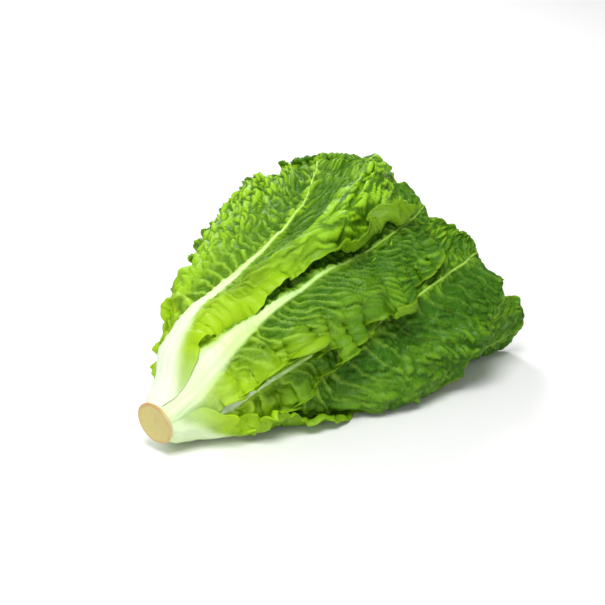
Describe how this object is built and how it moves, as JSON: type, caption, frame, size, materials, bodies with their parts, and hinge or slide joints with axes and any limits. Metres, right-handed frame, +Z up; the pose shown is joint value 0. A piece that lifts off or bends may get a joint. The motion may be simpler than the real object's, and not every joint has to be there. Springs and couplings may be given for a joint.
{
  "type": "romaine lettuce head",
  "caption": "Head of romaine lettuce lying on its side: a cut stem, loose outer leaves with thick pale midribs and ruffled green blades, and a nested heart of paler leaves.",
  "frame": {"origin": "centre of the bounding box at its bottom, on the surface the head lies on", "axes": "+X from the cut stem towards the leaf tips, +Z up, +Y to the left when looking along +X"},
  "size_m": [0.2782, 0.206, 0.1409],
  "materials": {
    "stem": "moist cut stem, satin",
    "outer_leaf": "fresh leaf, satin, slightly see-through at the edges",
    "heart_leaf": "fresh pale leaf, satin"
  },
  "bodies": {
    "root": {"stem": "stem", "outer_leaf_01": "outer_leaf", "outer_leaf_02": "outer_leaf", "outer_leaf_03": "outer_leaf", "outer_leaf_04": "outer_leaf", "outer_leaf_05": "outer_leaf", "outer_leaf_06": "outer_leaf", "outer_leaf_07": "outer_leaf", "outer_leaf_08": "outer_leaf", "outer_leaf_09": "outer_leaf", "outer_leaf_10": "outer_leaf", "heart_leaf_11": "heart_leaf", "heart_leaf_12": "heart_leaf", "heart_leaf_13": "heart_leaf", "heart_leaf_14": "heart_leaf", "heart_leaf_15": "heart_leaf", "heart_leaf_16": "heart_leaf", "heart_leaf_17": "heart_leaf", "heart_leaf_18": "heart_leaf"}
  },
  "joints": []
}
